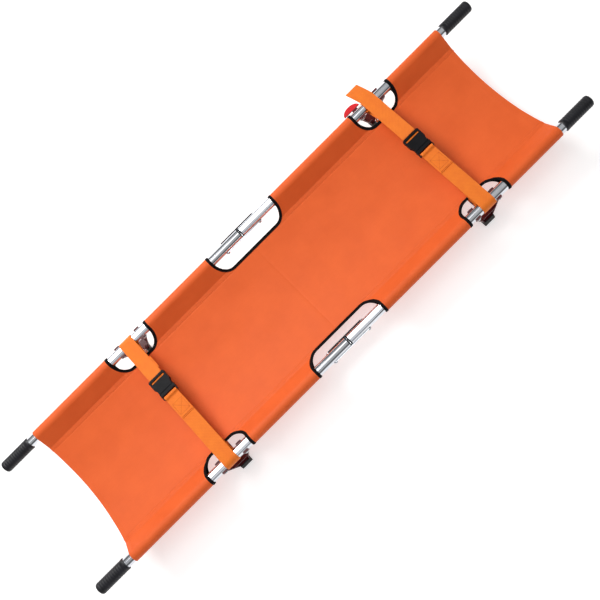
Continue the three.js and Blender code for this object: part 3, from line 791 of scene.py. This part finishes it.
def seam_stitches(side_name, end):
    """Two rows beside the sleeve's seam, and one round the sleeve's outer hem."""
    side = SIDES[side_name]
    hem, *_, joint = hole_ends(end)
    lift = CANVAS_THICK / 2
    lines = []
    for gap in (8.4, 5.2):
        along = SECTION.lengths[SECTION.seam_at] - gap
        count = 90
        places = [hem + (joint - hem) * (0.004 + 0.992 * k / count) for k in range(count + 1)]
        lines.append([skin(side, x, along, lift) for x in places])
    hem_line = hem - ENDS[end] * HEM_WIDTH * 0.8
    count = 40
    lines.append([
        skin(side, hem_line, SECTION.lengths[-1] * k / count, lift) for k in range(count + 1)
    ])
    return stitches(f"seam_stitches_{side_name}_{end}", lines, ORANGE_THREAD, f"{side_name}_{end}")


def fold_bed(piece):
    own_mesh(piece)


def bed_surface(end, x, y):
    """Middle of the bed's cloth with its ripples and the folded hem."""
    edge = hem_edge(end, y)
    from_hem = (edge - x) * ENDS[end]
    hem_step = 0.5 * max(0.0, min(1.0, (HEM_WIDTH - from_hem) / 1.5))
    return bed_height(y) + ripple(x, y) + hem_step


def canvas_bed(end):
    half = POLE_Y - BAND_A
    columns, rows = 66, 78
    points, cloth = [], []
    for i in range(rows + 1):
        share = i / rows
        for j in range(columns + 1):
            y = -half + 2 * half * j / columns
            edge = hem_edge(end, y)
            x = edge + (JOINT_X - edge) * share
            if i in (1, 2):
                x = edge - ENDS[end] * (HEM_WIDTH - 1.5 + 1.5 * (i - 1))
            elif i > 2:
                start = edge - ENDS[end] * HEM_WIDTH
                x = start + (JOINT_X - start) * (i - 2) / (rows - 2)
            points.append((x, y, bed_surface(end, x, y)))
            cloth.append((x, y))
    name = f"canvas_bed_cloth_{end}"
    body = f"left_{end}"
    mesh = mesh_from(name, points, strip_faces(rows + 1, columns + 1), cloth, outwards=False)
    piece = new_piece(name, mesh, CANVAS, body, [f"canvas_bed_{end}"])
    solidified(piece, CANVAS_THICK)
    fold_bed(piece)
    tuck = middle_tuck(end, half)
    count = 60
    hem_line = []
    for k in range(count + 1):
        y = (2 * k / count - 1) * (half - 8)
        x = hem_edge(end, y) - ENDS[end] * HEM_WIDTH * 0.85
        hem_line.append(((x, y, bed_surface(end, x, y) + CANVAS_THICK / 2), (0, 0, 1)))
    thread = stitches(f"hem_stitches_{end}", [hem_line], ORANGE_THREAD, body)
    fold_bed(thread)
    return piece


def middle_tuck(end, half):
    """Slack of the canvas under the joint line, which covers the gap when the halves fold."""
    columns, rows = 40, 6
    points, cloth = [], []
    for i in range(rows + 1):
        share = i / rows
        for j in range(columns + 1):
            y = -half + 2 * half * j / columns
            top = bed_surface(end, JOINT_X, y) - CANVAS_THICK / 2
            low = max(51.0, bed_height(y) - 24)
            bulge = 3.0 * math.sin(math.pi * share) + 1.2
            points.append((JOINT_X + ENDS[end] * bulge, y, top + (low - top) * share))
            cloth.append((share * 24, y))
    name = f"canvas_tuck_{end}"
    mesh = mesh_from(name, points, strip_faces(rows + 1, columns + 1), cloth, outwards=False)
    piece = new_piece(name, mesh, CANVAS, f"left_{end}")
    solidified(piece, 1.0)
    fold_bed(piece)
    return piece


# ---------------------------------------------------------------- webbing
def ribbon(path, x_centre, width, thick, lean=None, start=0.0):
    """Webbing along a path of (y, z); lean gives the sideways shift at each y. Returns points,
    faces and cloth places."""
    half, t = width / 2, thick / 2
    ring = [(-half, 0), (-half + 0.5, t), (-half / 3, t), (half / 3, t), (half - 0.5, t), (half, 0),
            (half - 0.5, -t), (half / 3, -t), (-half / 3, -t), (-half + 0.5, -t)]
    points, cloth = [], []
    travelled = start
    for i, (y, z) in enumerate(path):
        before, after = path[max(i - 1, 0)], path[min(i + 1, len(path) - 1)]
        dy, dz = after[0] - before[0], after[1] - before[1]
        size = math.hypot(dy, dz)
        if i:
            travelled += math.hypot(y - path[i - 1][0], z - path[i - 1][1])
        shift = lean(y) if lean else 0
        for u, v in ring:
            points.append((x_centre + u + shift, y - dz / size * v, z + dy / size * v))
            cloth.append((travelled, u))
    count = len(ring)
    faces = strip_faces(len(path), count, round_columns=True)
    last = (len(path) - 1) * count
    for a, b in ((0, 9), (1, 8), (2, 7), (3, 6)):
        faces.append((a, a + 1, b - 1, b))
        faces.append((last + a, last + b, last + b - 1, last + a + 1))
    return points, faces, cloth


def combined(parts):
    points, faces, cloth = [], [], []
    for more, quads, places in parts:
        faces += [tuple(i + len(points) for i in face) for face in quads]
        points += more
        cloth += places
    return points, faces, cloth


LOOP_REACH = math.hypot(LOOP_SEWN, STRAP_Z - POLE_Z)
LOOP_TOWARDS = math.atan2(STRAP_Z - POLE_Z - 2.0, LOOP_SEWN)
LOOP_LOW = LOOP_TOWARDS - math.acos(LOOP_R / LOOP_REACH)


def loop_under(a):
    """Height over the pole centre of the webbing that comes back from under the pole."""
    a0, h0 = LOOP_R * math.cos(LOOP_LOW), LOOP_R * math.sin(LOOP_LOW)
    return h0 + (STRAP_Z - POLE_Z - 2.1 - h0) * (a - a0) / (LOOP_SEWN - a0)


def strap_loop(side_name, end):
    """The webbing round the pole, out to where the strap's run starts."""
    side = SIDES[side_name]
    top = STRAP_Z - POLE_Z
    rail = [(RIGID_A, top), (14, top), (7, top)]
    turns = 22
    for k in range(turns + 1):
        angle = math.pi / 2 + (LOOP_LOW + 2 * math.pi - math.pi / 2) * k / turns
        rail.append((LOOP_R * math.cos(angle), LOOP_R * math.sin(angle)))
    rail += [(16, loop_under(16)), (RIGID_A, loop_under(RIGID_A))]
    path = [(side * (POLE_Y - a), POLE_Z + h) for a, h in rail]
    parts = [ribbon(path, STRAP_X[end], STRAP_WIDTH, STRAP_THICK)]
    if side_name == "left" and end == "front":
        parts.append(tail())
    points, faces, cloth = combined(parts)
    name = f"strap_loop_{side_name}_{end}"
    mesh = mesh_from(name, points, faces, cloth, sharp_over=50)
    return new_piece(name, mesh, WEBBING, f"{side_name}_{end}")


def tail_lean(y):
    bend = POLE_Y + TAIL_BEND
    return TAIL_LEAN * max(0.0, (y - bend) / (TAIL_END - bend))


def tail():
    """Free end of the front strap, over the pole and out past it."""
    inner, steps = POLE_Y - RIGID_A, 24
    path = []
    for k in range(steps + 1):
        y = inner + (TAIL_END - inner) * k / steps
        arch = 1.2 * math.sin(max(0.0, (y - POLE_Y) / 70) * math.pi)
        drop = max(0, (y - 296) / 24)  # the last of it hangs a little
        path.append((y, STRAP_Z + STRAP_THICK + 0.2 + arch - drop))
    return ribbon(path, STRAP_X["front"], STRAP_WIDTH, STRAP_THICK, tail_lean)


def fold_strap(piece):
    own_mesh(piece)


def level_run(start, stop, count, lift=0.0, droop=0.0, whole=None):
    """Webbing between two places across the bed. It hangs by `droop` halfway along `whole`."""
    first, last = whole or (start, stop)
    points = []
    for k in range(count + 1):
        y = start + (stop - start) * k / count
        sink = droop * math.sin(math.pi * min(1.0, max(0.0, (y - first) / (last - first))))
        points.append((y, STRAP_Z + lift - sink))
    return points


def webbing_piece(name, paths, end, body, replaced=()):
    """Ribbons along the paths, each given as (path, sideways offset, width)."""
    parts = [ribbon(path, STRAP_X[end] + offset, width, STRAP_THICK) for path, offset, width in paths]
    points, faces, cloth = combined(parts)
    mesh = mesh_from(name, points, faces, cloth, sharp_over=50)
    return new_piece(name, mesh, WEBBING, body, replaced)


def loop_ends(side):
    """The sewn end of the loop, which comes up from under the pole against the run."""
    under = [(side * (POLE_Y - a), POLE_Z + loop_under(a)) for a in (RIGID_A, 36, 50, 62, LOOP_SEWN)]
    return under + [(side * (POLE_Y - LOOP_SEWN - 12), STRAP_Z - 3.0)]


def strap_run_left(end):
    """From the left pole to the socket's slot. The front one carries the tail on top; the rear one
    is doubled underneath, a little askew."""
    start, bar = POLE_Y - RIGID_A, BUCKLE_END[end]
    last = bar + RUN_PAST_SOCKET
    droop = {"droop": 1.6, "whole": (start, last)}
    paths = [(level_run(start, last, 26, **droop), 0, STRAP_WIDTH), (loop_ends(1), 0, STRAP_WIDTH)]
    layer = STRAP_THICK + 0.2
    if end == "rear":
        paths.append((level_run(POLE_Y - LOOP_SEWN - 14, bar + 18, 20, -layer, **droop), 4, STRAP_WIDTH))
    else:
        paths.append((level_run(start, last, 20, layer, **droop), 0, STRAP_WIDTH))
    body = f"left_{end}"
    run = webbing_piece(f"strap_run_left_{end}", paths, end, body, [f"strap_{end}_left"])
    fold_strap(run)
    dip = [(3, 0), (-1, -0.4), (-6, -0.6), (-10, 2.2), (-13, 3.6), (-15.5, 1.0)]
    turn = [(bar + y, STRAP_Z + z) for y, z in dip]
    webbing_piece(f"strap_turn_left_{end}", [(turn, 0, STRAP_WIDTH)], end, f"buckle_socket_{end}")


def strap_run_right(end):
    """From the right pole under the plug's sewn webbing, which goes over the plug's outer bar."""
    start, bar = -POLE_Y + RIGID_A, PLUG_END[end]
    paths = [(level_run(start, bar - PLUG_CLEAR, 24), 0, STRAP_WIDTH), (loop_ends(-1), 0, STRAP_WIDTH)]
    run = webbing_piece(f"strap_run_right_{end}", paths, end, f"right_{end}", [f"strap_{end}_right"])
    fold_strap(run)
    over = [(-1.6, 4.4), (0.2, 6.9), (2.5, 7.3), (5.5, 7.2), (8, 5.6), (9.8, 1.0), (10.2, -3.0)]
    turn = level_run(bar - PLUG_SEWN, bar - 4, 16, STRAP_THICK + 0.1)
    turn += [(bar + y, STRAP_Z + z) for y, z in over]
    body = f"buckle_plug_{end}"
    webbing_piece(f"strap_turn_right_{end}", [(turn, 0, STRAP_WIDTH - 0.6)], end, body)
    box_stitches(end, bar, body)


def box_stitches(end, bar, body):
    """The boxed cross that holds the doubled webbing at the plug, and bar tacks at its end."""
    x, inner, outer = STRAP_X[end], bar - 26, bar - 68
    half = STRAP_WIDTH / 2 - 6
    height = STRAP_Z + STRAP_THICK * 1.5 + 0.2
    corners = [(x - half, inner), (x + half, inner), (x + half, outer), (x - half, outer)]
    routes = [corners + corners[:1], [corners[0], corners[2]], [corners[1], corners[3]]]
    for from_end in (4, 2.5):
        tack_y = bar - PLUG_SEWN + from_end
        routes.append([(x - half - 3, tack_y), (x + half + 3, tack_y)])
    lines = []
    for route in routes:
        line = []
        for (x0, y0), (x1, y1) in zip(route, route[1:]):
            for k in range(9):
                point = (x0 + (x1 - x0) * k / 8, y0 + (y1 - y0) * k / 8, height)
                line.append((point, (0, 0, 1)))
        lines.append(line)
    return stitches(f"box_stitches_{end}", lines, DARK_THREAD, body, 4.0, 3.2, 0.45)


# ---------------------------------------------------------------- poles, grips and hinges
def rounded(start, end, radius, rounding, bore=None):
    """Profile of a round bar from start to end with rounded rims, or of a tube with a bore."""
    sign = 1 if end > start else -1
    arc = [(rounding * (1 - math.cos(t)), rounding * (1 - math.sin(t))) for t in
           (0, math.pi / 6, math.pi / 3, math.pi / 2)]
    rise = [(start + sign * p, radius - q) for p, q in arc]
    fall = [(end - sign * p, radius - q) for p, q in reversed(arc)]
    if bore is None:
        return [(start, 0)] + rise + fall + [(end, 0)]
    inner = [(end, bore), (start, bore)]
    return rise + fall + inner + rise[:1]


def pole_centre(side_name):
    return (0, SIDES[side_name] * POLE_Y, POLE_Z)


def pole(side_name, end):
    place = f"{side_name}_{end}"
    low, high = extent(f"tube_{place}", 0)
    profile = rounded(low, high, TUBE_R, 0.6, bore=TUBE_R - 2)
    mesh = turned(f"pole_{place}", "x", pole_centre(side_name), profile, 64)
    new_piece(f"pole_{place}", mesh, ALUMINIUM, place, [f"tube_{place}"])


def grip(side_name, end):
    """Moulded rubber grip with shallow rings, a rolled inner rim and a domed end."""
    place = f"{side_name}_{end}"
    low, high = extent(f"grip_{place}", 0)
    radius = (extent(f"grip_{place}", 2)[1] - extent(f"grip_{place}", 2)[0]) / 2
    sign = ENDS[end]
    outer, inner = (high, low) if sign > 0 else (low, high)
    profile = [(0, 0), (0, 8), (0.5, 12.5), (1.8, 16), (4.0, 18.4), (7.0, radius - 0.4), (10, radius)]
    length = high - low
    rings = 11
    first, last = 16.0, length - 14.0
    for k in range(rings):
        at, floor_r = first + (last - first) * k / (rings - 1), radius - 0.55
        profile += [(at - 1.6, radius), (at - 0.8, floor_r), (at + 0.8, floor_r), (at + 1.6, radius)]
    profile += [(length - 7, radius), (length - 5.5, radius + 0.35), (length - 1.5, radius + 0.35),
                (length, radius - 0.6), (length, TUBE_R + 0.3), (4, TUBE_R + 0.3), (4, 0)]
    mesh = turned(
        f"grip_rubber_{place}", "x", pole_centre(side_name),
        [(outer - sign * distance, r) for distance, r in profile], 56,
    )
    new_piece(f"grip_rubber_{place}", mesh, GRIP_RUBBER, place, [f"grip_{place}"])


def hinge_rim_shadow(side_name):
    """Black strip on the left rim of the hinge channel: painted shadow of the gap between the rim and the
    tube.
    """
    low, high = extent(f"hinge_link_{side_name}", 0)
    rim = extent(f"hinge_link_{side_name}", 2)[1]
    centre = (0, SIDES[side_name] * POLE_Y + 19.3, rim + 0.5)
    profile = rounded(low + 9, high - 9, 1.7, 0.6)
    mesh = turned(f"hinge_rim_shadow_{side_name}", "x", centre, profile, 12)
    new_piece(f"hinge_rim_shadow_{side_name}", mesh, CAP_PLASTIC, f"hinge_link_{side_name}")


def joint_cap(side_name, end):
    place = f"{side_name}_{end}"
    low, high = extent(f"joint_cap_{place}", 0)
    sign = ENDS[end]
    face, tip = (low, high) if sign > 0 else (high, low)
    profile = [(face, 0), (face, TUBE_R - 1.2), (face + sign * 0.8, TUBE_R), (face + sign * 3, TUBE_R),
               (face + sign * 3, TUBE_R - 2.3), (tip - sign, TUBE_R - 2.3), (tip, TUBE_R - 3.3), (tip, 0)]
    mesh = turned(f"tube_plug_{place}", "x", pole_centre(side_name), profile, 48)
    new_piece(f"tube_plug_{place}", mesh, CAP_PLASTIC, place, [f"joint_cap_{place}"])


def domed_pin(cad_node, name, axis, look, body, shaft, head, head_high, slot):
    """A pin with a domed head at both ends, as long as its CAD piece."""
    centre = middle(cad_node) / MM
    centre.y -= MID_Y / MM
    low, high = extent(cad_node, AXES[axis][0])
    half = (high - low) / 2
    rise = half - head_high
    dome = [(rise, shaft), (rise, head - 0.4), (rise + 0.4, head), (rise + head_high * 0.45, head - 0.3),
            (rise + head_high * 0.8, head * 0.62), (half, head * 0.25), (half, 0)]
    profile = [(-d, r) for d, r in reversed(dome)] + dome
    mesh = turned(name, axis, tuple(centre), profile, 28, 50)
    return new_piece(name, mesh, look, body, [cad_node], slot)


def bolts_and_pins():
    for side_name in SIDES:
        for end in ENDS:
            place = f"{side_name}_{end}"
            for k in (1, 2):
                domed_pin(f"leg_bolt_{place}_{k}", f"bolt_{place}_{k}", "y", BOLT_STEEL, place,
                          3, 5.4, 3, "fastener_steel")
            domed_pin(f"hinge_pin_{place}", f"hinge_rivet_{place}", "y", PLATED,
                      f"hinge_link_{side_name}", 3, 5, 2.5, "hinge_steel")
    for end in ENDS:
        riders = {"left": f"left_{end}", "middle": f"spreader_{end}_left", "right": f"right_{end}"}
        for place, body in riders.items():
            domed_pin(f"spreader_pin_{end}_{place}", f"spreader_rivet_{end}_{place}", "z", BOLT_STEEL,
                      body, 3, 5, 2, "fastener_steel")


def carried_metalwork():
    """Pressed, painted and moulded parts, which keep their CAD shape with rounded edges."""
    for side_name in SIDES:
        refined(f"hinge_link_{side_name}", f"hinge_channel_{side_name}", PLATED,
                f"hinge_link_{side_name}", 0.5, slot="hinge_steel")
        for end in ENDS:
            place = f"{side_name}_{end}"
            refined(f"leg_{place}", f"leg_frame_{place}", RED_PAINT, place, 0.9)
            refined(f"foot_pad_{place}", f"foot_boot_{place}", FOOT_RUBBER, place, 2.0, 3)
    for end in ENDS:
        for side_name in SIDES:
            refined(f"spreader_link_{end}_{side_name}", f"spreader_bar_{end}_{side_name}", PLATED,
                    f"spreader_{end}_{side_name}", 0.6, slot="spreader_steel")
        socket, plug = f"buckle_socket_{end}", f"buckle_plug_{end}"
        refined(socket, f"buckle_female_{end}", BUCKLE_PLASTIC, socket, 1.1, 3)
        refined(plug, f"buckle_male_{end}", BUCKLE_PLASTIC, plug, 1.0, 3)


# ---------------------------------------------------------------- the scene
def floor():
    size = 14.0
    mesh = bpy.data.meshes.new("floor")
    corners = [(-size, -size, 0), (size, -size, 0), (size, size, 0), (-size, size, 0)]
    mesh.from_pydata(corners, [], [(0, 1, 2, 3)])
    mesh.materials.append(floor_material())
    made = bpy.data.objects.new("floor", mesh)
    bpy.context.scene.collection.objects.link(made)


camera()
studio()
floor()
for side_name in SIDES:
    for end in ENDS:
        pole(side_name, end)
        grip(side_name, end)
        joint_cap(side_name, end)
    hinge_rim_shadow(side_name)
bolts_and_pins()
carried_metalwork()
for end in ENDS:
    for side_name in SIDES:
        canvas_side(side_name, end)
        strap_loop(side_name, end)
    strap_run_left(end)
    strap_run_right(end)
    canvas_bed(end)
